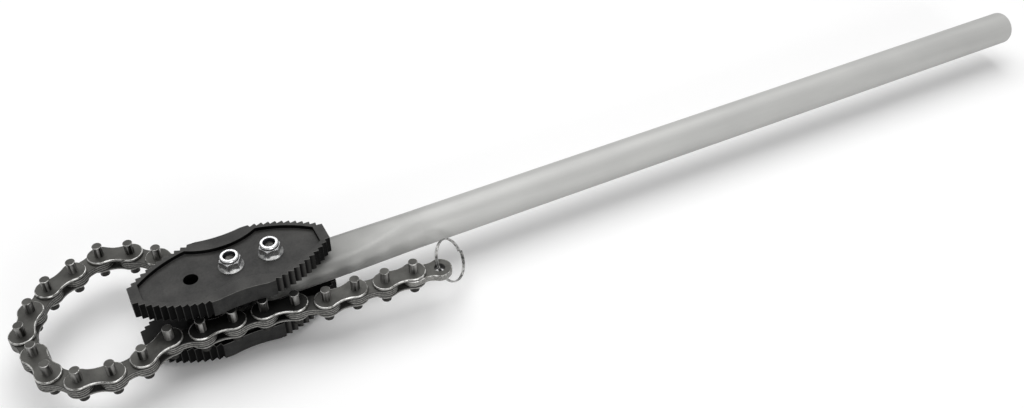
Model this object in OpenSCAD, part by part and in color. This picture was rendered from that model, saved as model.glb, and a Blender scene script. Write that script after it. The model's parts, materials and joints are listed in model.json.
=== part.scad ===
// Chain pipe wrench: a tube handle with a forked flat end, two toothed jaw plates bolted over it,
// and a leaf chain whose long pins catch on the lugs inside the jaws.
// The origin is on the axis of the open bolt hole, midway between the jaws. X runs along the handle.

/* [Handle] */
// Outside diameter of the tube
tube_d = 33.7; // [30:0.1:38]
// Wall of the tube
tube_wall = 4; // [3:0.1:5]
// Distance from the middle bolt to the free end
handle_reach = 866; // [500:1:1000]
// Length of the flat end behind the middle bolt
flat_len = 95; // [80:1:110]
// Length over which the tube goes from flat to round
blend_len = 70; // [50:1:100]
// Radius of the fork's nose round the middle bolt
nose_r = 20; // [17:0.1:20.2]
// Depth of the fork's slot behind the middle bolt
slot_depth = 14; // [12:0.5:18]
// Round of the tube's outer edge at the free end
end_round = 3; // [1:0.5:3.5]

/* [Jaws] */
// Length of a jaw
jaw_len = 164; // [150:1:180]
// Thickness of a jaw at its teeth
jaw_t = 16; // [12:0.5:20]
// Width of the flat at each end of a jaw
jaw_end_w = 18; // [14:0.5:24]
// Width of a jaw across the lands beside the waist
land_w = 73; // [70:0.5:78]
// Width of a jaw across the middle of the waist
waist_w = 69; // [66:0.5:69.5]
// Length of the waist
waist_len = 38; // [30:1:44]
// Length of each land between the waist and the teeth
land_len = 7; // [5:0.5:9]
// Radius of the arc on which the tooth tips lie
tooth_arc_r = 105; // [90:1:140]
// Teeth on each of the four arcs
tooth_count = 11; // [8:1:13]
// Flat left on the tip of a tooth
tooth_flat = 0.7; // [0.4:0.1:1.2]
// How far a tooth leans to its end of the jaw: 0.5 is upright, more brings the root nearer the next tooth
tooth_lean = 0.7; // [0.5:0.05:0.8]
// Depth of the recess in a jaw's outer face
recess_depth = 4; // [2:0.5:6]
// Width of the rim between the recess and the tooth tips
rim_w = 5.5; // [4:0.5:8]
// Width of the rim at each end of a jaw
end_rim_w = 8.5; // [6:0.5:12]
// Half width of the recess at its waist
recess_waist = 21.7; // [18:0.1:25]
// Length of the recess's waist
recess_waist_len = 60; // [50:1:68]
// Radius of the boss round each bolt hole, inside the jaws
boss_r = 12; // [10:0.5:13]
// Radius of a chain-catch lug
lug_r = 6.75; // [5:0.25:7.5]
// Distance of a lug from the jaw's centreline
lug_y = 24.8; // [24:0.1:27]

/* [Fasteners] */
// Distance between the bolt holes
bolt_pitch = 33.5; // [30:0.5:38]
// Diameter of a bolt
bolt_d = 10; // [8:0.5:11]
// Hexagon size across flats
hex_af = 16; // [14:0.5:17]
// Diameter of the flange under a head or nut
flange_d = 21; // [19.8:0.2:24]
// Height of a bolt head
head_h = 9.6; // [7:0.2:11]
// Thickness of a flange at its edge
flange_t = 1; // [0.8:0.1:1.6]
// Height of the slope from a flange's edge up to its hexagon
flange_rise = 1.4; // [1:0.1:3]
// Chamfer on the corners of a hexagon and on a bolt's end
hex_chamfer = 1.6; // [0.6:0.1:2]
// Height of a lock nut
nut_h = 11.8; // [11:0.2:14]
// Height of a lock nut's hexagon, flange included
nut_hex_h = 8.6; // [7:0.1:10]
// Step from the flats of a lock nut's hexagon in to its round collar
collar_step = 0.1; // [0.1:0.1:1]
// Round of the collar's outer edge
collar_round = 1.4; // [0.5:0.1:1.8]
// Thickness of the lip that holds the insert
lip_t = 0.9; // [0.6:0.1:1.4]
// Radial gap between a bolt and the lip
lip_clear = 0.3; // [0.2:0.1:1]
// Height of the nylon insert
insert_h = 3.2; // [2:0.1:3.4]
// Wall of the nylon insert
insert_wall = 1.6; // [1:0.1:1.7]
// How far a bolt's end stays below the top of its nut
bolt_low = 3.4; // [2:0.2:4]
// Radial clearance of a bolt in a jaw or cheek
bolt_clear = 1; // [0.3:0.1:1.2]

/* [Chain] */
// Distance between neighbouring pins
chain_pitch = 25.4; // [24:0.1:27]
// Distance from the middle bolt to the first pin
first_pitch = 30; // [27:0.5:34]
// Radius of the round end of a link plate
link_end_r = 10.6; // [9:0.1:11]
// Half width of a link plate at its waist
link_waist = 8; // [6:0.1:8.5]
// Thickness of one leaf of an inner link
leaf_t = 2; // [1.5:0.1:2.4]
// Leaves in an inner link
leaf_count = 3; // [2:1:4]
// Thickness of an outer plate
outer_t = 2.6; // [2:0.1:3.2]
// Diameter of a chain pin
pin_d = 7.6; // [6:0.1:8.6]
// Length of a chain pin
pin_len = 33; // [28:0.5:38]
// How far a pin's peened end stands out past its shank
peen = 0.3; // [0.2:0.1:0.6]

/* [End ring] */
// Distance from the last pin to the hole that holds the ring
end_pitch = 22.6; // [22:0.1:26]
// Hole in the end link
ring_hole_d = 9.4; // [9:0.1:10.4]
// Mean diameter of the split ring
ring_d = 37.6; // [32:0.1:40]
// Diameter of the ring's wire
ring_wire = 1.5; // [1.2:0.1:1.6]

/* [Clearances] */
// Radial running clearance of a link on its pin or on the bolt
run_fit = 0.05; // [0.02:0.01:0.1]
// Gap between neighbouring leaves of an inner link
leaf_gap = 0.1; // [0.05:0.05:0.2]
// Gap between a leaf stack and the outer plates beside it
side_gap = 0.15; // [0.1:0.05:0.4]
// Gap between a pin's end and the jaw beside it
pin_gap = 1; // [0.5:0.1:2]
// Gap between the first link and each cheek of the fork
slot_gap = 0.75; // [0.4:0.05:1]

/* [Hidden] */
$fn = 64;

// Heading of each link in degrees about +Z, from the middle bolt outwards, as the chain lies
LINK_HEADING = [127, 127, 127, 140, 161, 201, 206, 228, 245, 281, 284, 318,
                348, 369, 385, 351, 358, 358, 350, 342, 361, 353, 358, 350];
// How the ring leans: turned from the end link, dipped at its far side, rolled about its diameter
RING_TURN = 47;
RING_DIP = 14.5;
RING_ROLL = -32;

link_total = len(LINK_HEADING);
outer_total = link_total / 2;
inner_total = outer_total - 1;

tube_r = tube_d / 2;
pin_r = pin_d / 2;
bolt_r = bolt_d / 2;
leaf_step = leaf_t + leaf_gap;
stack_half = (leaf_count * leaf_step - leaf_gap) / 2;
outer_z = stack_half + side_gap;
chain_half = outer_z + outer_t;
slot_half = chain_half + slot_gap;
flat_half_t = slot_half + tube_wall;
// The flat end keeps the tube's girth
flat_half_w = flat_half_t + PI * (tube_r - flat_half_t) / 2;
jaw_in = pin_len / 2 + pin_gap;
jaw_out = jaw_in + jaw_t;
recess_z = jaw_out - recess_depth;
jaw_x = bolt_pitch;
grip = 2 * recess_z;
eps = 1;

function heading(i) = LINK_HEADING[i];
function pitch(i) = i == 0 ? first_pitch : i == link_total - 1 ? end_pitch : chain_pitch;
function step(i) = pitch(i) * [cos(heading(i)), sin(heading(i))];
// Place of joint i: joint 0 is the middle bolt and joint i the pin that link i turns on
function joint(i) = i == 0 ? [jaw_x, 0] : joint(i - 1) + step(i - 1);

// Puts its children in link i's own frame: the near joint at the origin, the far one along +X
module on_link(i) {
    translate(joint(i)) rotate(heading(i)) children();
}

// Plan of a link plate: two round ends and scoops that run into them, with a bite so small that it hardly shows
module link_plan(length, near_r, far_r) {
    bite = 0.02;
    scoop_r = (pow(length / 2, 2) + pow(link_waist, 2) - pow(link_end_r, 2))
        / (2 * (link_end_r - link_waist));
    scoop_y = link_waist + scoop_r;
    meet = link_end_r / (link_end_r + scoop_r);
    meet_x = meet * length / 2;
    meet_y = meet * scoop_y;
    difference() {
        union() {
            circle(link_end_r);
            translate([length, 0]) circle(link_end_r);
            translate([meet_x, -meet_y]) square([length - 2 * meet_x, 2 * meet_y]);
        }
        for (side = [-1, 1])
            translate([length / 2, side * scoop_y]) circle(scoop_r + bite);
        circle(near_r);
        translate([length, 0]) circle(far_r);
    }
}

// Outer link k: a plate above and a plate below the leaves. The first one is longer and turns on the bolt.
module outer_plates(k) {
    i = 2 * k - 2;
    near_r = k == 1 ? bolt_r + run_fit : pin_r;
    color([0.36, 0.36, 0.34])
        on_link(i)
            for (z = [outer_z, -outer_z - outer_t])
                translate([0, 0, z]) linear_extrude(outer_t) link_plan(pitch(i), near_r, pin_r);
}

// One pin, peened over at both ends
module chain_pin() {
    half = pin_len / 2;
    head_r = pin_r + peen;
    rotate_extrude()
        polygon([[0, -half], [pin_r, -half], [head_r, -half + peen], [head_r, -half + 2 * peen],
                 [pin_r, -half + 4 * peen], [pin_r, half - 4 * peen], [head_r, half - 2 * peen],
                 [head_r, half - peen], [pin_r, half], [0, half]]);
}

// Pins of outer link k. The first link has one, because its near end is on the bolt.
module link_pins(k) {
    i = 2 * k - 2;
    color([0.42, 0.42, 0.4])
        on_link(i) {
            if (k > 1) chain_pin();
            translate([pitch(i), 0, 0]) chain_pin();
        }
}

// Inner link k: a stack of leaves
module inner_leaves(k) {
    color([0.4, 0.4, 0.38])
        on_link(2 * k - 1)
            for (leaf = [0:leaf_count - 1])
                translate([0, 0, leaf * leaf_step - stack_half])
                    linear_extrude(leaf_t) link_plan(chain_pitch, pin_r + run_fit, pin_r + run_fit);
}

module anchor_bush() {
    color([0.5, 0.5, 0.48])
        translate([jaw_x, 0, -outer_z])
            linear_extrude(2 * outer_z)
                difference() {
                    circle(link_waist);
                    circle(bolt_r + run_fit);
                }
}

module end_link() {
    color([0.38, 0.38, 0.36])
        on_link(link_total - 1)
            translate([0, 0, -stack_half])
                linear_extrude(2 * stack_half) link_plan(end_pitch, pin_r + run_fit, ring_hole_d / 2);
}

// Two turns of wire that start and stop on the side away from the link
module split_ring() {
    sides = 8;
    turn_steps = 48;
    rings = 2 * turn_steps;
    lead = ring_wire * 1.03;
    wire_r = ring_wire / 2;
    mean_r = ring_d / 2;
    points = [for (i = [0:rings], s = [0:sides - 1])
        let (a = 180 + 360 * i / turn_steps,
             b = 360 * s / sides,
             r = mean_r + wire_r * cos(b))
        [mean_r - r * cos(a), lead * (i / turn_steps - 1) + wire_r * sin(b), r * sin(a)]];
    walls = [for (i = [0:rings - 1], s = [0:sides - 1])
        let (t = (s + 1) % sides)
        [i * sides + s, i * sides + t, (i + 1) * sides + t, (i + 1) * sides + s]];
    start = [for (s = [sides - 1:-1:0]) s];
    stop = [for (s = [0:sides - 1]) rings * sides + s];
    color([0.75, 0.75, 0.74])
        on_link(link_total - 1)
            translate([end_pitch, 0, 0])
                rotate([0, 0, RING_TURN]) rotate([0, RING_DIP, 0]) rotate([RING_ROLL, 0, 0])
                    polyhedron(points, concat([start], walls, [stop]));
}

// Plan of a jaw, one quarter: end flat, tooth arc, land and half of the waist's straight chord
land_x = waist_len / 2 + land_len;
end_pt = [jaw_len / 2, jaw_end_w / 2];
land_pt = [land_x, land_w / 2];
arc_chord = norm(end_pt - land_pt);
arc_half = asin(arc_chord / 2 / tooth_arc_r);
chord_dir = (end_pt - land_pt) / arc_chord;
arc_centre = (end_pt + land_pt) / 2
    + tooth_arc_r * cos(arc_half) * [chord_dir[1], -chord_dir[0]];
arc_start = atan2(end_pt[1] - arc_centre[1], end_pt[0] - arc_centre[0]);
tooth_step = 2 * arc_half / tooth_count;
tooth_pitch = tooth_arc_r * tooth_step * PI / 180;
tooth_depth = (tooth_pitch - tooth_flat) / 2;
flat_step = tooth_flat / tooth_arc_r * 180 / PI;

function arc_pt(angle, r) = arc_centre + r * [cos(angle), sin(angle)];
function flip_x(pts) = [for (i = [len(pts) - 1:-1:0]) [-pts[i][0], pts[i][1]]];
function flip_y(pts) = [for (i = [len(pts) - 1:-1:0]) [pts[i][0], -pts[i][1]]];

quarter = concat(
    [for (i = [0:tooth_count - 1], corner = [0:2])
        let (tip = arc_start + i * tooth_step)
        corner == 0 ? arc_pt(tip, tooth_arc_r)
            : corner == 1 ? arc_pt(tip + flat_step, tooth_arc_r)
            : arc_pt(tip + flat_step + tooth_lean * (tooth_step - flat_step), tooth_arc_r - tooth_depth)],
    [land_pt, [waist_len / 2, land_w / 2]]);
half_plan = concat(quarter, flip_x(quarter));

// Radius of an arc from its half chord and its rise
function arc_r(half, rise) = (pow(half, 2) + pow(rise, 2)) / (2 * rise);

module jaw_plan() {
    waist_r = arc_r(waist_len / 2, (land_w - waist_w) / 2);
    difference() {
        polygon(concat(half_plan, flip_y(half_plan)));
        for (side = [-1, 1])
            translate([0, side * (waist_w / 2 + waist_r)]) circle(waist_r);
    }
}

// Plan of the recess: the tooth arcs moved inwards by the rim, square ends and a waist of its own
module recess_plan() {
    end_x = jaw_len / 2 - end_rim_w;
    side_r = tooth_arc_r - rim_w;
    side_x = recess_waist_len / 2;
    side_y = arc_centre[1] + sqrt(pow(side_r, 2) - pow(side_x - arc_centre[0], 2));
    waist_r = arc_r(side_x, side_y - recess_waist);
    difference() {
        for (mx = [0, 1], my = [0, 1])
            mirror([mx, 0]) mirror([0, my])
                intersection() {
                    translate(arc_centre) circle(side_r, $fn = 128);
                    translate([-eps, -eps]) square([end_x + eps, land_w]);
                }
        for (side = [-1, 1])
            translate([0, side * (recess_waist + waist_r)]) circle(waist_r);
    }
}

// The upper jaw: plate, bosses and lugs, recess and three bolt holes
module jaw() {
    hole_r = bolt_r + bolt_clear;
    reach_in = jaw_in - flat_half_t + eps;
    difference() {
        union() {
            translate([0, 0, jaw_in]) linear_extrude(jaw_t) jaw_plan();
            for (hole = [-1:1])
                translate([hole * bolt_pitch, 0, flat_half_t]) cylinder(h = reach_in, r = boss_r);
            for (side = [-1, 1])
                translate([0, side * lug_y, flat_half_t]) cylinder(h = reach_in, r = lug_r);
        }
        translate([0, 0, recess_z]) linear_extrude(recess_depth + eps) recess_plan();
        for (hole = [-1:1])
            translate([hole * bolt_pitch, 0, 0]) cylinder(h = jaw_out, r = hole_r);
    }
}

module upper_jaw() {
    color([0.25, 0.25, 0.24]) translate([jaw_x, 0, 0]) jaw();
}

module lower_jaw() {
    color([0.25, 0.25, 0.24]) translate([jaw_x, 0, 0]) mirror([0, 0, 1]) jaw();
}

// Puts its children on the middle bolt and on the bolt behind it
module at_bolts() {
    for (hole = [0, 1]) translate([jaw_x + hole * bolt_pitch, 0, 0]) children();
}

// A flange that slopes up to a hexagon, shared by the bolt heads and the nuts
module flanged_hex(height) {
    corner_d = hex_af / cos(30);
    shoulder = height - hex_chamfer;
    cylinder(h = flange_t, d = flange_d);
    translate([0, 0, flange_t]) cylinder(h = flange_rise, d1 = flange_d, d2 = hex_af);
    intersection() {
        cylinder(h = height, d = corner_d, $fn = 6);
        union() {
            cylinder(h = shoulder, d = corner_d + hex_chamfer);
            translate([0, 0, shoulder]) cylinder(h = hex_chamfer, d1 = corner_d + hex_chamfer, d2 = hex_af);
        }
    }
}

insert_r = bolt_r + insert_wall;
insert_top = nut_h - lip_t;
insert_z = insert_top - insert_h;
bolt_end = recess_z + nut_h - bolt_low;

// Hexagon flange bolts, heads below
module jaw_bolts() {
    color([0.7, 0.7, 0.7])
        at_bolts() {
            translate([0, 0, -recess_z]) mirror([0, 0, 1]) flanged_hex(head_h);
            translate([0, 0, -recess_z - eps]) cylinder(h = bolt_end - hex_chamfer + recess_z + eps, r = bolt_r);
            translate([0, 0, bolt_end - hex_chamfer])
                cylinder(h = hex_chamfer, r1 = bolt_r, r2 = bolt_r - hex_chamfer);
        }
}

// Flange lock nuts with a round collar, turned in at the top over the insert
module lock_nuts() {
    collar_r = hex_af / 2 - collar_step;
    bore_r = bolt_r + run_fit;
    lip_r = bolt_r + lip_clear;
    color([0.78, 0.78, 0.78])
        at_bolts()
            translate([0, 0, recess_z])
                difference() {
                    union() {
                        flanged_hex(nut_hex_h);
                        rotate_extrude()
                            polygon([[0, flange_t], [collar_r, flange_t], [collar_r, nut_h - collar_round],
                                     [collar_r - collar_round / 4, nut_h - collar_round / 3],
                                     [collar_r - 2 * collar_round / 3, nut_h], [0, nut_h]]);
                    }
                    rotate_extrude()
                        polygon([[0, -eps], [bore_r, -eps], [bore_r, insert_z], [insert_r, insert_z],
                                 [insert_r, insert_top], [lip_r, insert_top], [lip_r, nut_h + eps],
                                 [0, nut_h + eps]]);
                }
}

module nylon_inserts() {
    color([0.16, 0.16, 0.18])
        at_bolts()
            translate([0, 0, recess_z + insert_z])
                linear_extrude(insert_h)
                    difference() {
                        circle(insert_r);
                        circle(bolt_r + run_fit);
                    }
}

// Section of the tube when flattened: two rounds of radius half_t joined by flats, half_w overall
module flat_section(half_t, half_w) {
    for (side = [-1, 1]) translate([0, side * (half_w - half_t)]) circle(half_t);
    square([2 * half_t, 2 * (half_w - half_t)], center = true);
}

// Stretch of tube between the flat end and the round handle, as rings that keep the girth
module blend(x0, x1) {
    spans = 10;
    side_pts = 14;
    sink = 0.05;
    lap = 2;
    lap_rings = 2;
    ring_pts = 2 * side_pts;
    ring_total = spans + 1 + lap_rings;
    function ease(i) = let (s = min(max((i - 1) / spans, 0), 1)) s * s * (3 - 2 * s);
    function ring_x(i) = i == 0 ? x0 - lap
        : i == ring_total - 1 ? x1 + lap
        : x0 + (x1 - x0) * (i - 1) / spans;
    function half_t(i) = flat_half_t + (tube_r - flat_half_t) * ease(i);
    function half_w(i) = half_t(i) + PI * (tube_r - half_t(i)) / 2;
    function ring(i, inset) = [for (s = [0:ring_pts - 1])
        let (side = s < side_pts ? 1 : -1,
             a = -90 + 180 * ((s % side_pts) + 0.5) / side_pts,
             r = half_t(i) - inset)
        [ring_x(i), side * (half_w(i) - half_t(i) + r * cos(a)), side * r * sin(a)]];
    rings = [for (i = [0:ring_total - 1]) ring(i, sink)];
    bores = [for (i = [0:ring_total - 1]) ring(i, tube_wall - 2 * sink)];
    points = [for (r = concat(rings, bores), p = r) p];
    bore_at = ring_total * ring_pts;
    last = (ring_total - 1) * ring_pts;
    outside = [for (i = [0:ring_total - 2], s = [0:ring_pts - 1])
        let (a = i * ring_pts + s, b = i * ring_pts + (s + 1) % ring_pts)
        each [[b, a, b + ring_pts], [b + ring_pts, a, a + ring_pts]]];
    inside = [for (f = outside) [f[2] + bore_at, f[1] + bore_at, f[0] + bore_at]];
    mouths = [for (s = [0:ring_pts - 1])
        let (a = s, b = (s + 1) % ring_pts)
        each [[a, b, a + bore_at], [a + bore_at, b, b + bore_at],
              [b + last, a + last, b + last + bore_at], [b + last + bore_at, a + last, a + last + bore_at]]];
    polyhedron(points, concat(outside, inside, mouths));
}

// Round stretch of the tube, with its outer edge rounded at the free end
module round_tube(length) {
    edge = [for (a = [0:18:90])
        [tube_r - end_round + end_round * cos(a), length - end_round + end_round * sin(a)]];
    rotate_extrude()
        polygon(concat([[tube_r - tube_wall, 0], [tube_r, 0]], edge, [[tube_r - tube_wall, length]]));
}

// The handle: forked flat end, blend and round tube
module handle_tube() {
    flat_x = jaw_x + flat_len;
    round_x = flat_x + blend_len;
    end_x = jaw_x + handle_reach;
    color([0.7, 0.7, 0.68]) {
        difference() {
            intersection() {
                translate([jaw_x - nose_r, 0, 0]) rotate([0, 90, 0])
                    linear_extrude(flat_len + nose_r) flat_section(flat_half_t, flat_half_w);
                union() {
                    translate([jaw_x, 0, -tube_d]) cylinder(h = 2 * tube_d, r = nose_r);
                    translate([jaw_x, -tube_d, -tube_d]) cube([flat_len + eps, 2 * tube_d, 2 * tube_d]);
                }
            }
            translate([jaw_x - nose_r - eps, 0, 0]) rotate([0, 90, 0])
                linear_extrude(flat_len + nose_r + 2 * eps)
                    flat_section(slot_half, flat_half_w - tube_wall);
            translate([jaw_x - tube_d, -tube_d, -slot_half]) cube([tube_d + slot_depth, 2 * tube_d, 2 * slot_half]);
            at_bolts() translate([0, 0, -tube_d]) cylinder(h = 2 * tube_d, r = bolt_r + bolt_clear);
        }
        blend(flat_x, round_x);
        translate([round_x, 0, 0]) rotate([0, 90, 0]) round_tube(end_x - round_x);
    }
}

handle_tube();
upper_jaw();
lower_jaw();
jaw_bolts();
lock_nuts();
nylon_inserts();
anchor_bush();
for (k = [1:outer_total]) outer_plates(k);
for (k = [1:outer_total]) link_pins(k);
for (k = [1:inner_total]) inner_leaves(k);
end_link();
split_ring();
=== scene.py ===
# %% [markdown]
# # Dressing a chain pipe wrench
# The wrench comes in as a packed model whose parts have their real size and place. This lesson gives
# every part its edges and its finish, sets up a plain studio, and looks at the tool the way a catalogue
# would. All lengths are in metres, in the frame of the packed model: X runs along the handle, Z points
# up, and the open bolt hole in the jaws is the origin.

# %% Load the packed wrench
import json
import math
import bmesh
import bpy
from mathutils import Matrix, Vector

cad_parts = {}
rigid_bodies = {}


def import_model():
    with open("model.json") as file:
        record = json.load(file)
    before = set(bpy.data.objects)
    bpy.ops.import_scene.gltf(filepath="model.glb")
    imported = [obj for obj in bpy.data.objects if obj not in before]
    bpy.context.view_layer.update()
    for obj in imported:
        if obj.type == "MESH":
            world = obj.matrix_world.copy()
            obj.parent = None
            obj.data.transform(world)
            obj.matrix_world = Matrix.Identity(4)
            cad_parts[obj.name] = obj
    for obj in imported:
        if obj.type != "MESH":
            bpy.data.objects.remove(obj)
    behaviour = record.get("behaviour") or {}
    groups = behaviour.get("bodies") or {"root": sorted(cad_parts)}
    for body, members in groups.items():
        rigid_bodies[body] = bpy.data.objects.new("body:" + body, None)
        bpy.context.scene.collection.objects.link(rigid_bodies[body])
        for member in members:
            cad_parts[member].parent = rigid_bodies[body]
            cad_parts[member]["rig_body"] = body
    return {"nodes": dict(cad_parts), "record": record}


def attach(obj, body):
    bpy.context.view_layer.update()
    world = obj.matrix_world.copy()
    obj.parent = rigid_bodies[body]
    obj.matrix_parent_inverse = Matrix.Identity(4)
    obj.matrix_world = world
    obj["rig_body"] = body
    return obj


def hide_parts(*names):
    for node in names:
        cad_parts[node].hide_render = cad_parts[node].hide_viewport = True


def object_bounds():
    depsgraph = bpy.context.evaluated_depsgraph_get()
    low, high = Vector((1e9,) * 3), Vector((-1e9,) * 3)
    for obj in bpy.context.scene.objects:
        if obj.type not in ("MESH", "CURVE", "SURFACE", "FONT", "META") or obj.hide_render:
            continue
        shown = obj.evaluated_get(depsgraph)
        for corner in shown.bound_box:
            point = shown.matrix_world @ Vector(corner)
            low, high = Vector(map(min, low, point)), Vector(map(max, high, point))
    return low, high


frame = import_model()
cad_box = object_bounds()
nodes = frame["nodes"]
scene = bpy.context.scene
MM = 0.001

# %% [markdown]
# ## The camera
# The photograph was taken from in front of the jaws and above them, so the handle runs away to the upper
# right. A camera can be aimed with a constraint, but three plain angles and a place say the same thing
# and stay readable. The picture is 1024 by 408, and the lens is given for its width.

# %% Camera
CAMERA_PLACE = Vector((-0.0639, -0.6730, 0.6725))
CAMERA_DOWN = math.radians(41.88)
CAMERA_TURN = math.radians(27.85)
CAMERA_ROLL = math.radians(0.24)
LENS_MM = 39.15
SENSOR_MM = 36.0
NEAREST = 0.01
FURTHEST = 50


def add_camera():
    ahead = Vector((math.sin(CAMERA_TURN) * math.cos(CAMERA_DOWN),
                    math.cos(CAMERA_TURN) * math.cos(CAMERA_DOWN),
                    -math.sin(CAMERA_DOWN)))
    level = Vector((math.cos(CAMERA_TURN), -math.sin(CAMERA_TURN), 0))
    above = level.cross(ahead)
    right = math.cos(CAMERA_ROLL) * level + math.sin(CAMERA_ROLL) * above
    up = right.cross(ahead)
    lens = bpy.data.cameras.new("camera")
    lens.sensor_fit = "HORIZONTAL"
    lens.sensor_width = SENSOR_MM
    lens.lens = LENS_MM
    lens.clip_start = NEAREST
    lens.clip_end = FURTHEST
    camera = bpy.data.objects.new("camera", lens)
    turn = Matrix((right, up, -ahead)).transposed()
    camera.matrix_world = Matrix.Translation(CAMERA_PLACE) @ turn.to_4x4()
    scene.collection.objects.link(camera)
    scene.camera = camera


add_camera()
print("camera at", [round(v, 3) for v in CAMERA_PLACE])

# %% [markdown]
# ## Shader maths in Python
# A finish is a small net of nodes. Wiring them by hand hides the idea, so a socket is wrapped in a class
# whose operators add the Math nodes: `0.4 + 0.2 * grain` then reads as the formula that it is. Python
# calls the forms that start with r when the number stands on the left.

# %% A socket that can be used in sums


class Signal:
    """An output socket. Sums and products with it add Math nodes to its material."""

    def __init__(self, finish, socket):
        self.finish = finish
        self.socket = socket

    def maths(self, operation, first, second):
        return self.finish.node("ShaderNodeMath", {"operation": operation}, {0: first, 1: second})

    def __add__(self, other):
        return self.maths("ADD", self, other)

    def __radd__(self, other):
        return self.maths("ADD", other, self)

    def __sub__(self, other):
        return self.maths("SUBTRACT", self, other)

    def __rsub__(self, other):
        return self.maths("SUBTRACT", other, self)

    def __mul__(self, other):
        return self.maths("MULTIPLY", self, other)

    def __rmul__(self, other):
        return self.maths("MULTIPLY", other, self)


print("a socket can be added, subtracted and multiplied")

# %% [markdown]
# ## One class for every finish
# A material starts with a Principled shader. One method, `node`, adds any kind of node, and the others
# name the few nets that are used again and again. Node groups could hold those nets too, but a method is
# shorter to write and to read. All patterns use Object coordinates, so they stay put when a piece moves.

# %% A material and its nodes


class Finish:
    """A material with one shader, and the methods that add nodes to it."""

    def __init__(self, name):
        self.material = bpy.data.materials.new(name)
        self.material.use_nodes = True
        self.tree = self.material.node_tree
        self.shader = self.tree.nodes["Principled BSDF"]

    def feed(self, socket, value):
        if isinstance(value, Signal):
            self.tree.links.new(value.socket, socket)
        else:
            socket.default_value = value

    def node(self, kind, settings, inputs, output=0):
        """Adds a node: its settings first, then the values or links of its sockets."""
        made = self.tree.nodes.new(kind)
        for name, value in settings.items():
            setattr(made, name, value)
        for name, value in inputs.items():
            self.feed(made.inputs[name], value)
        return Signal(self, made.outputs[output])

    def set(self, **sockets):
        """Sets or links the shader's own sockets, with their names in small letters."""
        for name, value in sockets.items():
            self.feed(self.shader.inputs[name.replace("_", " ").title().replace("Ior", "IOR")], value)
        return self.material

    def place(self, stretch=(1, 1, 1), shift=(0, 0, 0)):
        """Where a point lies on the wrench, in metres, with each axis stretched or squeezed, then moved."""
        coords = self.node("ShaderNodeTexCoord", {}, {}, output="Object")
        return self.node("ShaderNodeMapping", {}, {"Vector": coords, "Scale": stretch, "Location": shift})

    def along(self, axis):
        """Distance from the origin along X, Y or Z, in metres."""
        return self.node("ShaderNodeSeparateXYZ", {}, {"Vector": self.place()}, output=axis)

    def distance(self, point, centre):
        return self.node("ShaderNodeVectorMath", {"operation": "DISTANCE"},
                         {0: point, 1: centre}, output="Value")

    def rise(self, value, low, high):
        """0 where value is below low, 1 where it is above high, and even steps between."""
        return self.node("ShaderNodeMapRange", {"clamp": True},
                         {"Value": value, "From Min": low, "From Max": high})

    def noise(self, size, detail=4, stretch=(1, 1, 1), low=0.3, high=0.7):
        """Cloudy noise whose blotches are about size across, spread to fill 0 to 1."""
        cloud = self.node("ShaderNodeTexNoise", {},
                          {"Vector": self.place(stretch), "Scale": 1 / size, "Detail": detail})
        return self.rise(cloud, low, high)

    def mix(self, share, first, second):
        """Blends two colours. A Mix node has sockets for each kind of data: 6 and 7 are the colours."""
        first, second = [(*shade, 1) if isinstance(shade, tuple) else shade for shade in (first, second)]
        return self.node("ShaderNodeMix", {"data_type": "RGBA"}, {0: share, 6: first, 7: second}, output=2)

    def ray(self, kind):
        """1 for light rays of this kind and 0 for all others."""
        return self.node("ShaderNodeLightPath", {}, {}, output=kind)

    def bump(self, height, depth):
        """Tilts the surface as if height, from 0 to 1, were depth metres tall."""
        return self.node("ShaderNodeBump", {}, {"Height": height, "Distance": depth})


print("a finish has", [name for name in vars(Finish) if not name.startswith("_")])

# %% [markdown]
# ## Plain blotchy finishes
# A small part in one even colour looks like plastic. Clouds of two shades, with the roughness following
# them, are enough to make it steel, and one function makes all of these finishes. The parts that have
# more to tell get a function of their own below.

# %% Clouds of two shades


def blotchy(name, dark, pale, size, roughness, spread, detail=3, low=0.3, high=0.7, **sockets):
    """Two shades in blotches of this size. The roughness grows by spread from the dark to the pale ones."""
    finish = Finish(name)
    cloud = finish.noise(size, detail, low=low, high=high)
    return finish.set(base_color=finish.mix(cloud, dark, pale),
                      roughness=roughness + spread * cloud, **sockets)


print("blotchy() is ready")

# %% [markdown]
# ## The handle's finish
# The handle is a drawn steel tube with a pale satin coat: nearly plain, with soft marks along its length.
# Close to the jaws it is darker: painted shade of the jaws and the chain. An image could show that, but
# noise that is drawn out along the tube and a slow change along X do it without any file.

# %% Handle finish
TUBE_PALE = (0.55, 0.55, 0.535)
TUBE_DULL = (0.47, 0.47, 0.46)
# Painted shade: the handle's end near the jaws, where the jaws and the chain shade it.
TUBE_SHADED = (0.2, 0.2, 0.192)
SHADE_START = 110 * MM
SHADE_END = 230 * MM
SHADE_WAVE = 30 * MM


def satin_tube():
    finish = Finish("satin_tube")
    streak = finish.noise(12 * MM, detail=3, stretch=(0.08, 1, 1))
    cloud = finish.noise(50 * MM, detail=2)
    grain = finish.noise(1.2 * MM, detail=3)
    # Painted shade near the jaws, its border made ragged by the cloud, fading out along X.
    paler_share = finish.rise(finish.along("X") + SHADE_WAVE * cloud, SHADE_START, SHADE_END)
    coat = finish.mix(0.6 * streak + 0.4 * cloud, TUBE_DULL, TUBE_PALE)
    return finish.set(base_color=finish.mix(paler_share, TUBE_SHADED, coat),
                      roughness=0.48 + 0.12 * grain, metallic=0.3,
                      normal=finish.bump(grain, 0.02 * MM))


TUBE = satin_tube()
print("handle:", TUBE.name)

# %% [markdown]
# ## The jaws' forged finishes
# The jaws are forged and blackened. Their outer faces are finely pitted, their sides keep the dull scale
# of the forge, and the edges of the outline are rubbed. An image of forged steel could be laid over them,
# but it would have seams, and noise has none.

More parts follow.
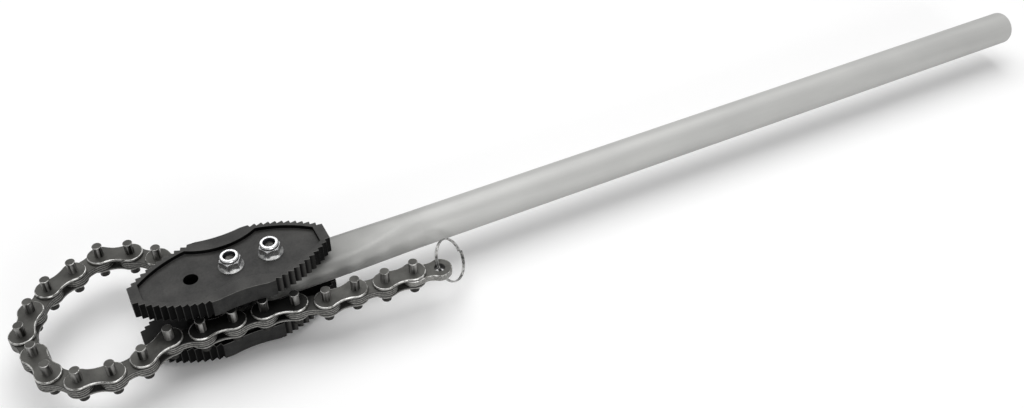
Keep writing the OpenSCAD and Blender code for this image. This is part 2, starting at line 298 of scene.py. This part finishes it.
# %% Forged finishes
FORGED_DARK = (0.011, 0.0107, 0.01)
FORGED_PALE = (0.039, 0.038, 0.0357)
SCALE_DARK = (0.006, 0.006, 0.006)
SCALE_PALE = (0.02, 0.02, 0.019)
RUBBED_EDGE = (0.12, 0.118, 0.112)


def blackened_forging():
    """The outer faces."""
    finish = Finish("blackened_forging")
    cloud = finish.noise(20 * MM)
    pits = finish.noise(1.6 * MM, detail=5)
    return finish.set(base_color=finish.mix(cloud, FORGED_DARK, FORGED_PALE),
                      roughness=0.46 + 0.16 * pits, metallic=0.2,
                      normal=finish.bump(pits, 0.05 * MM))


def forging_scale():
    """The sides as they left the forge: dull, dark and blotchy."""
    finish = Finish("forging_scale")
    blotch = finish.noise(7 * MM, detail=5)
    pits = finish.noise(1.2 * MM)
    return finish.set(base_color=finish.mix(blotch, SCALE_DARK, SCALE_PALE), specular_ior_level=0.3,
                      roughness=0.5 + 0.2 * pits, normal=finish.bump(pits, 0.06 * MM))


FORGING = blackened_forging()
FORGING_SIDE = forging_scale()
FORGING_EDGE = blotchy("rubbed_forging", FORGED_PALE, RUBBED_EDGE, 6 * MM, 0.4, 0.12,
                       detail=4, metallic=0.45)
print("forgings:", [finish.name for finish in (FORGING, FORGING_SIDE, FORGING_EDGE)])

# %% [markdown]
# ## Oil and wear on the jaws
# The inside of the jaws is black with painted shade, where the upper jaw shades it. The gaps between the
# teeth and the walls of the recess are black with oil from the chain and painted shade. On the handle's end
# the tooth tips are rubbed bright. That could be painted on an image by hand, which is slow. Here the
# distance from the centre of the tooth arc tells tip from gap, and taking X and Y without their signs makes
# one formula serve all four corners.

# %% Oil, painted shade and rubbed tips
# Black of oil and painted shade, for the teeth's gaps, the recess walls and the inside of the jaws.
SHADE_AND_OIL_BLACK = (0.0015, 0.0015, 0.0015)
SHADE_AND_OIL_DARK = (0.004, 0.004, 0.004)
RUBBED_TIP = (0.05, 0.049, 0.047)
JAW_X = 33.5 * MM
TOOTH_ARC_CENTRE = (9.8 * MM, -67.2 * MM, 0)
TOOTH_GAP_R = 103.2 * MM
TOOTH_TIP_R = 104.6 * MM
RUBBED_TO = 88 * MM
BLACK_FROM = 100 * MM
# Painted shade on the inner faces: full near the jaws' middle, gone towards both ends.
FULL_SHADE_TO = 66 * MM
SHADE_FREE_FROM = 80 * MM


def shaded_inside():
    """The inner faces, under the upper jaw: black with painted shade but for the two ends."""
    finish = Finish("shaded_inside")
    blotch = finish.noise(4 * MM)
    from_middle = finish.distance(finish.place((1, 0, 0)), (JAW_X, 0, 0))
    ends = finish.rise(from_middle, FULL_SHADE_TO, SHADE_FREE_FROM)
    return finish.set(base_color=finish.mix(ends, SHADE_AND_OIL_BLACK, SCALE_PALE), specular_ior_level=0.1,
                      roughness=0.45 + 0.15 * blotch)


def worn_teeth():
    """The teeth on the handle's end: oil and painted shade in the gaps, tips rubbed bright, and all black
    towards the end.
    """
    finish = Finish("worn_teeth")
    blotch = finish.noise(4 * MM)
    quarter = finish.node("ShaderNodeVectorMath", {"operation": "ABSOLUTE"},
                          {0: finish.place((1, 1, 0), (-JAW_X, 0, 0))})
    # Gaps between the teeth: black with oil and painted shade. Tips: rubbed bright.
    outwards = finish.rise(finish.distance(quarter, TOOTH_ARC_CENTRE), TOOTH_GAP_R, TOOTH_TIP_R)
    paler_share = outwards * (1 - finish.rise(finish.along("X"), RUBBED_TO, BLACK_FROM))
    return finish.set(base_color=finish.mix(paler_share, SHADE_AND_OIL_BLACK, RUBBED_TIP), specular_ior_level=0.1,
                      roughness=0.45 + 0.15 * blotch)


# The teeth's flanks and the recess walls: black with oil and painted shade.
TEETH = blotchy("teeth_oil_and_shade", SHADE_AND_OIL_BLACK, SHADE_AND_OIL_DARK, 4 * MM, 0.45, 0.15,
                detail=4, specular_ior_level=0.05)
WORN_TEETH = worn_teeth()
JAW_INSIDE_SHADE = shaded_inside()
print("oily:", [finish.name for finish in (TEETH, WORN_TEETH, JAW_INSIDE_SHADE)])

# %% [markdown]
# ## The chain's plates
# The chain is dark oiled steel. The links that lie under the jaw get a painted shadow of the jaw, and the
# grooves of all links are black with old oil and painted shade. A second material could give the links that
# shadow, but an oval patch with a soft border, in the one material of all plates, leaves no hard change
# from link to link.

# %% Plate finish
PLATE_DARK = (0.048, 0.047, 0.043)
PLATE_PALE = (0.09, 0.089, 0.082)
SEAM_OIL_AND_SHADE_DARK = (0.006, 0.006, 0.0055)
SEAM_SHADE_PALE = (0.022, 0.0215, 0.02)
# Painted shadow: an oval where the upper jaw shades the links beneath it.
SHADOW_X = 28 * MM
SHADOW_Y = -38 * MM
SHADOW_HALF_LEN = 72 * MM
SHADOW_HALF_W = 34 * MM
SHADOW_FULL = 0.8
SHADOW_CLEAR = 1.2


def oiled_plate_with_shadow():
    """Dark oiled steel with a painted shadow inside the oval patch, which its half sizes squeeze to a unit
    circle.
    """
    finish = Finish("oiled_plate_with_shadow")
    cloud = finish.noise(14 * MM)
    grain = finish.noise(1.1 * MM)
    spot = finish.place((1 / SHADOW_HALF_LEN, 1 / SHADOW_HALF_W, 0),
                        (-SHADOW_X / SHADOW_HALF_LEN, -SHADOW_Y / SHADOW_HALF_W, 0))
    # Painted shadow inside the oval, its border made ragged by the cloud.
    away = finish.rise(finish.distance(spot, (0, 0, 0)) + 0.2 * cloud, SHADOW_FULL, SHADOW_CLEAR)
    plain = finish.mix(cloud, PLATE_DARK, PLATE_PALE)
    return finish.set(base_color=finish.mix(away, SEAM_OIL_AND_SHADE_DARK, plain),
                      roughness=0.42 + 0.15 * grain, metallic=0.55,
                      normal=finish.bump(grain, 0.03 * MM))


PLATE = oiled_plate_with_shadow()
# Grooves and hole walls: black with oil and painted shade.
SEAM = blotchy("oil_and_shade_seam", SEAM_OIL_AND_SHADE_DARK, SEAM_SHADE_PALE, 3 * MM, 0.5, 0.2)
print("plates:", PLATE.name, SEAM.name)

# %% [markdown]
# ## The chain's sides, edges and pins
# Stamping leaves a grainy sheared side on each plate. A bump alone would give the grain, but on so thin a
# side it is seen only when the colour follows it. Rubbing brightens the edges in patches. The pins' upper
# ends get bright lines, partly rubbing and partly painted highlight streaks, so the pins' noise is drawn
# out upwards, and their lower halves get painted shade.

# %% Side, edge and pin finishes
SHEAR_DARK = (0.13, 0.128, 0.12)
SHEAR_PALE = (0.32, 0.316, 0.3)
EDGE_PALE = (0.78, 0.775, 0.755)
PIN_DARK = (0.03, 0.029, 0.027)
PIN_PALE = (0.42, 0.415, 0.4)
PIN_UNSHADED_FROM = 6 * MM


def sheared(name, dark, pale):
    """The grainy side that stamping leaves on a plate."""
    finish = Finish(name)
    grain = finish.noise(1.5 * MM)
    return finish.set(base_color=finish.mix(grain, dark, pale),
                      roughness=0.36 + 0.2 * grain, metallic=0.7,
                      normal=finish.bump(grain, 0.05 * MM))


def rubbed(name, dark, pale):
    """An edge worn bright in patches."""
    return blotchy(name, dark, pale, 5 * MM, 0.24, 0.14, detail=4, low=0.36, high=0.66, metallic=0.85)


def pin_shaft():
    """Drawn steel with bright lines along the upper end, partly rubbing and partly painted highlight
    streaks, and painted shade below.
    """
    finish = Finish("pin_shaft")
    line = finish.noise(3.2 * MM, detail=3, stretch=(1, 1, 0.06), low=0.4, high=0.66)
    # Painted shade on the lower half; above, bright lines that are partly rubbing and partly painted
    # highlight streaks.
    above = finish.rise(finish.along("Z"), 0, PIN_UNSHADED_FROM)
    return finish.set(base_color=finish.mix(line * above, PIN_DARK, PIN_PALE),
                      roughness=0.3 + 0.12 * line, metallic=0.8)


PLATE_SIDE = sheared("sheared_plate", SHEAR_DARK, SHEAR_PALE)
LEAF_SIDE = sheared("sheared_leaf", PLATE_PALE, SHEAR_PALE)
PLATE_EDGE = rubbed("rubbed_plate", SHEAR_DARK, EDGE_PALE)
PIN = pin_shaft()
PIN_EDGE = rubbed("rubbed_pin", PLATE_PALE, EDGE_PALE)
worn_finishes = (PLATE_SIDE, LEAF_SIDE, PLATE_EDGE, PIN, PIN_EDGE)
print("sides, edges and pins:", [finish.name for finish in worn_finishes])

# %% [markdown]
# ## The finishes of fasteners and ring
# The nuts are zinc plated, with dark nylon locking rings, the bolts are dark, and the ring is plated wire.
# All are plain enough for the blotchy finish. A nut's flange lies close to the dark jaw and mirrors it.
# Rather than leave that to the light alone, the flange gets a greyer zinc: a painted reflection of the dark
# jaw.

# %% Fastener and ring finishes
ZINC_PALE = (0.9, 0.905, 0.91)
ZINC_DULL = (0.74, 0.745, 0.755)
ZINC_REFLECTING_JAW = (0.17, 0.172, 0.175)
NYLON_DARK = (0.012, 0.013, 0.017)
NYLON_PALE = (0.024, 0.026, 0.032)
WIRE_PALE = (0.55, 0.55, 0.54)
WIRE_DULL = (0.16, 0.16, 0.155)
ZINC = blotchy("bright_zinc", ZINC_DULL, ZINC_PALE, 4 * MM, 0.22, 0.1, metallic=1.0)
# Painted reflection: the flange's greyer zinc stands in for the dark jaw that it mirrors.
FLANGE_JAW_REFLECTION = blotchy("zinc_painted_jaw_reflection", ZINC_REFLECTING_JAW, WIRE_PALE, 4 * MM, 0.22, 0.1, metallic=1.0)
BOLT = blotchy("dark_bolt", FORGED_DARK, RUBBED_EDGE, 3 * MM, 0.4, 0.15, metallic=0.6)
NYLON = blotchy("dark_nylon", NYLON_DARK, NYLON_PALE, 3 * MM, 0.4, 0.15)
WIRE = blotchy("plated_wire", WIRE_DULL, WIRE_PALE, 3 * MM, 0.22, 0.12, metallic=1.0)
print("fasteners and ring:", [finish.name for finish in (ZINC, FLANGE_JAW_REFLECTION, BOLT, NYLON, WIRE)])

# %% [markdown]
# ## Edges
# No real part has a perfectly sharp edge, and the thin bright line along a worn edge is most of what
# tells steel from plastic. The packed meshes are loose triangles with sharp edges. A copy is merged, its
# flat faces are joined into whole ones, and its sharp edges are bevelled. A bevel modifier would do this
# too, but the operator hands back the new faces, so the worn strip can have a finish of its own.

# %% Which edges are bevelled
SHARP = math.radians(28)
FLAT = math.radians(0.5)
WELD = 0.002 * MM


def merged_copy(node):
    mesh = bmesh.new()
    mesh.from_mesh(nodes[node].data)
    bmesh.ops.remove_doubles(mesh, verts=mesh.verts, dist=WELD)
    bmesh.ops.dissolve_limit(mesh, angle_limit=FLAT, verts=mesh.verts, edges=mesh.edges, delimit={"NORMAL"})
    return mesh


def any_edge(edge):
    return True


def level_edge(edge):
    """An edge that lies in a level plane, such as the rim of a plate."""
    return abs(edge.verts[0].co.z - edge.verts[1].co.z) < WELD


def sharp_edges(mesh, keep):
    return [edge for edge in mesh.edges
            if len(edge.link_faces) == 2 and edge.calc_face_angle(0) > SHARP and keep(edge)]


print("edges sharper than", round(math.degrees(SHARP)), "degrees are bevelled")

# %% [markdown]
# ## From a node to a dressed piece
# Every part goes through one function. A rule looks at a face and names its finish, and a second rule
# does so for the strips that the bevel makes. Numbered material slots would do, but they are hard to
# read. The piece then rides on its node's body and takes the node's place.

# %% Bevelled copies of the parts
LEVEL = 0.7


def is_level(face):
    return abs(face.normal.z) > LEVEL


def everywhere(finish):
    """A rule that gives every face the same finish."""
    return lambda face: finish


def flat_and_side(flat, side):
    """A rule that gives level faces one finish and upright ones another."""
    return lambda face: flat if is_level(face) else side


def dress(node, piece_name, width, face_rule, edge_rule=None, keep=any_edge, segments=2):
    """Bevels a copy of a node's mesh. Without a rule of their own, the new edge faces follow face_rule."""
    mesh = merged_copy(node)
    chosen = {face: face_rule(face) for face in mesh.faces}
    finishes = list(dict.fromkeys(chosen.values()))
    for face, finish in chosen.items():
        face.material_index = finishes.index(finish)
    strips = bmesh.ops.bevel(mesh, geom=sharp_edges(mesh, keep), affect="EDGES", segments=segments,
                             offset=width, offset_type="OFFSET", profile=0.5, clamp_overlap=True,
                             material=-1)
    for face in strips["faces"]:
        finish = (edge_rule or face_rule)(face)
        if finish not in finishes:
            finishes.append(finish)
        face.material_index = finishes.index(finish)
    for face in mesh.faces:
        face.smooth = True
    made = bpy.data.meshes.new(piece_name)
    mesh.to_mesh(made)
    mesh.free()
    for finish in finishes:
        made.materials.append(finish)
    piece = bpy.data.objects.new(piece_name, made)
    scene.collection.objects.link(piece)
    steady = piece.modifiers.new("steady_normals", "WEIGHTED_NORMAL")
    steady.keep_sharp = True
    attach(piece, nodes[node]["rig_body"])
    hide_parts(node)
    return piece


print("dress() makes one piece from one node")

# %% [markdown]
# ## The jaws
# Two forged plates grip the pipe with the teeth on their corners. Their faces could be picked one by one in
# the editor, but a rule picks them all: it asks whether a face is level, how high it lies, and how far
# along the jaw. The working end's teeth are black on their flanks, with oil and painted shade, and scaly on
# their tips, which are narrow and so are told by their area. The walls of the recess are black with oil and
# painted shade, and the inner faces with painted shade. Only the outline's edges are rubbed, because
# nothing reaches those of the recess.

# %% Jaws
JAW_EDGE = 0.3 * MM
LAND_END = 26.2 * MM
END_FLAT = 81.5 * MM
RIM_MIDDLE = 25.5 * MM
RECESS_WALL = 30 * MM
RECESS_ARC_R = 101 * MM
RECESS_HALF_W = 32 * MM
RECESS_HALF_LEN = 77 * MM
TIP_AREA = 20 * MM * MM


def jaw_face(face):
    """Tells the outer and inner faces, the walls of the recess and the teeth of both ends apart."""
    middle = face.calc_center_median()
    height = abs(middle.z)
    ahead = middle.x - JAW_X
    if is_level(face):
        # Level inner faces: painted shade under the upper jaw.
        return FORGING if height > RIM_MIDDLE else JAW_INSIDE_SHADE
    # Recess walls and the teeth's flanks: black with oil and painted shade.
    if height > RECESS_WALL:
        return TEETH
    # Upright inner faces: painted shade as well.
    if abs(height - RIM_MIDDLE) > MM:
        return JAW_INSIDE_SHADE
    if ahead > LAND_END:
        return WORN_TEETH if ahead < END_FLAT else TEETH
    flank = face.calc_area() > TIP_AREA
    return TEETH if flank and LAND_END < -ahead < END_FLAT else FORGING_SIDE


def jaw_edge(face):
    """An edge beyond the recess belongs to the outline and is rubbed."""
    middle = face.calc_center_median()
    quarter = Vector((abs(middle.x - JAW_X), abs(middle.y), 0))
    beyond_arc = (quarter - Vector(TOOTH_ARC_CENTRE)).length > RECESS_ARC_R
    if beyond_arc or quarter.x > RECESS_HALF_LEN or quarter.y > RECESS_HALF_W:
        return FORGING_EDGE
    # Inner edges take the painted shade of the inner faces.
    return FORGING if abs(middle.z) > RIM_MIDDLE else JAW_INSIDE_SHADE


for jaw in ("upper_jaw", "lower_jaw"):
    made = dress(jaw, jaw + "_forged", JAW_EDGE, jaw_face, jaw_edge, keep=level_edge)
    print(made.name, "has", len(made.data.polygons), "faces")

# %% [markdown]
# ## The handle
# The handle is one tube. Its front end is pressed flat and slotted into a fork that lies between the
# jaws. It could be modelled anew from a cylinder, but the packed mesh already has the exact shape, so
# only its sharp edges are rounded.

# %% Handle
TUBE_EDGE = 0.6 * MM
made = dress("handle_tube", "handle", TUBE_EDGE, everywhere(TUBE))
reach = [vertex.co.x for vertex in made.data.vertices]
print(made.name, "is", round((max(reach) - min(reach)) / MM), "mm long")

# %% [markdown]
# ## The fasteners
# Two flanged bolts with locking nuts hold the jaws and the fork together. The greyer zinc on a nut's
# flange, a painted reflection of the dark jaw, could come from a mask in the material, but a rule on the
# faces is simpler: the flange slopes up to the hexagon, so a face that slopes and lies low on the nut
# belongs to it.

# %% Bolts, nuts and inserts
NUT_EDGE = 0.25 * MM
FLANGE_TOP = 2.7 * MM
SLOPE_STEEP = 0.3
SLOPE_FLAT = 0.99
nut_seat = min(vertex.co.z for vertex in nodes["lock_nuts"].data.vertices)


def nut_face(face):
    low = face.calc_center_median().z < nut_seat + FLANGE_TOP
    # The flange's slopes get the painted reflection of the dark jaw.
    return FLANGE_JAW_REFLECTION if low and SLOPE_STEEP < face.normal.z < SLOPE_FLAT else ZINC


dress("jaw_bolts", "flange_bolts", NUT_EDGE, everywhere(BOLT))
dress("lock_nuts", "flange_nuts", NUT_EDGE, nut_face, everywhere(ZINC))
dress("nylon_inserts", "locking_rings", NUT_EDGE, everywhere(NYLON))
print("nuts sit at", round(nut_seat / MM, 1), "mm")

# %% [markdown]
# ## The chain's links
# Each outer link is a pair of stamped plates, each inner link is a stack of thin leaves, and the last
# link is one thick plate. Only the outline of a plate is rubbed. Marking its edges by hand would take 24
# rounds of work, so a rule does it: an edge close to one of the pins' axes lies round a hole and stays
# sharp. The axes are the joints' own, read from the packed model.

# %% Links
PLATE_BEVEL = 0.8 * MM
LEAF_BEVEL = 0.4 * MM
PLATE_MIDDLE = 4.55 * MM
HOLE_REACH = 6 * MM
ROUND_SEGMENTS = 3
axes = [Vector(joint["pos_m"][:2]) for joint in frame["record"]["behaviour"]["joints"]]


def on_outline(point):
    return min((point.xy - axis).length for axis in axes) > HOLE_REACH


def outline_edge(edge):
    return on_outline((edge.verts[0].co + edge.verts[1].co) / 2)


def plate_face(face):
    """The wall of a hole is black with oil and painted shade, as the grooves between the leaves are."""
    if is_level(face):
        return PLATE
    return PLATE_SIDE if on_outline(face.calc_center_median()) else SEAM


def plate_edge(face):
    """Edges that look outwards are rubbed bright, and those next to the leaves are black with oil and
    painted shade.
    """
    return PLATE_EDGE if abs(face.calc_center_median().z) > PLATE_MIDDLE else SEAM


for name in sorted(nodes):
    if name.startswith("outer_plates"):
        dress(name, name + "_stamped", PLATE_BEVEL, plate_face, plate_edge, outline_edge, ROUND_SEGMENTS)
    elif name == "end_link":
        dress(name, name + "_stamped", PLATE_BEVEL, plate_face, everywhere(PLATE_EDGE), outline_edge,
              ROUND_SEGMENTS)
    elif name.startswith("inner_leaves"):
        # The leaves' edges: grooves black with oil and painted shade.
        dress(name, name + "_stamped", LEAF_BEVEL, flat_and_side(PLATE, LEAF_SIDE), everywhere(SEAM),
              outline_edge)
print(len(axes), "joints in the chain and ring")

# %% [markdown]
# ## Pins, bush and ring
# The pins are riveted into the outer plates and stand out above and below, so that they can catch on the
# jaws. A bush keeps the first link's plates apart on its bolt, and a ring of wire hangs in the last link.
# All are small, and could be left sharp, but a thin bevel catches the light on the head of every pin.

# %% Pins, bush and ring
PIN_BEVEL = 0.12 * MM
RING_BEVEL = 0.1 * MM
pins = [name for name in sorted(nodes) if name.startswith("link_pins")]


def pin_edge(face):
    """Only the upper end of a pin is rubbed; the lower end's edges get the darker plate finish as painted
    shade.
    """
    # The lower end's edges: painted shade.
    return PIN_EDGE if face.calc_center_median().z > 0 else PLATE


for name in pins:
    dress(name, name + "_riveted", PIN_BEVEL, flat_and_side(PLATE, PIN), pin_edge)
dress("anchor_bush", "bush", PIN_BEVEL, everywhere(PIN))
dress("split_ring", "key_ring", RING_BEVEL, everywhere(WIRE))
print("pins of", len(pins), "outer links, a bush and a ring")

# %% [markdown]
# ## The floor
# A pale floor carries the soft shadow of the tool. The camera and every mirror see it as nearly white.
# Light that only scatters off it is cut down, as it would be on a small table in a big room, so the
# undersides stay dark. A smaller floor would do that too, but its border would show from other sides.

# %% Floor
FLOOR_GAP = 0.5 * MM
FLOOR_HALF = 12.0
FLOOR_SHADE = (0.95, 0.95, 0.95)
FLOOR_SCATTER = (0.42, 0.42, 0.42)


def pale_floor():
    finish = Finish("pale_floor")
    seen = finish.ray("Is Camera Ray") + finish.ray("Is Glossy Ray") + finish.ray("Is Transmission Ray")
    return finish.set(base_color=finish.mix(seen, FLOOR_SCATTER, FLOOR_SHADE), roughness=0.9)


def add_floor(height):
    mesh = bmesh.new()
    bmesh.ops.create_grid(mesh, x_segments=1, y_segments=1, size=FLOOR_HALF)
    bmesh.ops.translate(mesh, verts=mesh.verts, vec=(0, 0, height))
    made = bpy.data.meshes.new("floor")
    mesh.to_mesh(made)
    mesh.free()
    made.materials.append(pale_floor())
    floor = bpy.data.objects.new("floor", made)
    scene.collection.objects.link(floor)


floor_height = cad_box[0][2] - FLOOR_GAP
add_floor(floor_height)
print("floor at", round(floor_height / MM, 1), "mm")

# %% [markdown]
# ## Lamps and sky
# One wide lamp hangs above the tool, and one stands far off in front of it, low, so that the faces that
# look at the camera aren't lost. A sun would throw hard shadows, and large lamps keep them soft. An even
# white sky fills the rest.

# %% Lamps and sky
SKY_STRENGTH = 0.42


def add_lamp(name, place, target, size, watts):
    light = bpy.data.lights.new(name, "AREA")
    light.shape = "SQUARE"
    light.size = size
    light.energy = watts
    lamp = bpy.data.objects.new(name, light)
    aim = Vector(target) - Vector(place)
    lamp.rotation_euler = aim.to_track_quat("-Z", "Y").to_euler()
    lamp.location = place
    scene.collection.objects.link(lamp)


def add_sky():
    world = bpy.data.worlds.new("studio")
    world.use_nodes = True
    background = world.node_tree.nodes["Background"]
    background.inputs["Color"].default_value = (1, 1, 1, 1)
    background.inputs["Strength"].default_value = SKY_STRENGTH
    scene.world = world


add_lamp("key", place=(0.4, 0.6, 2.1), target=(0.25, 0, 0), size=2.4, watts=42)
add_lamp("fill", place=(0.1, -3.4, 0.95), target=(0.3, 0, 0), size=1.6, watts=46)
add_sky()
scene.view_settings.view_transform = "Standard"
print(len(bpy.data.lights), "lamps and a sky of", SKY_STRENGTH)

# %% [markdown]
# The dressed tool must not outgrow the packed one.
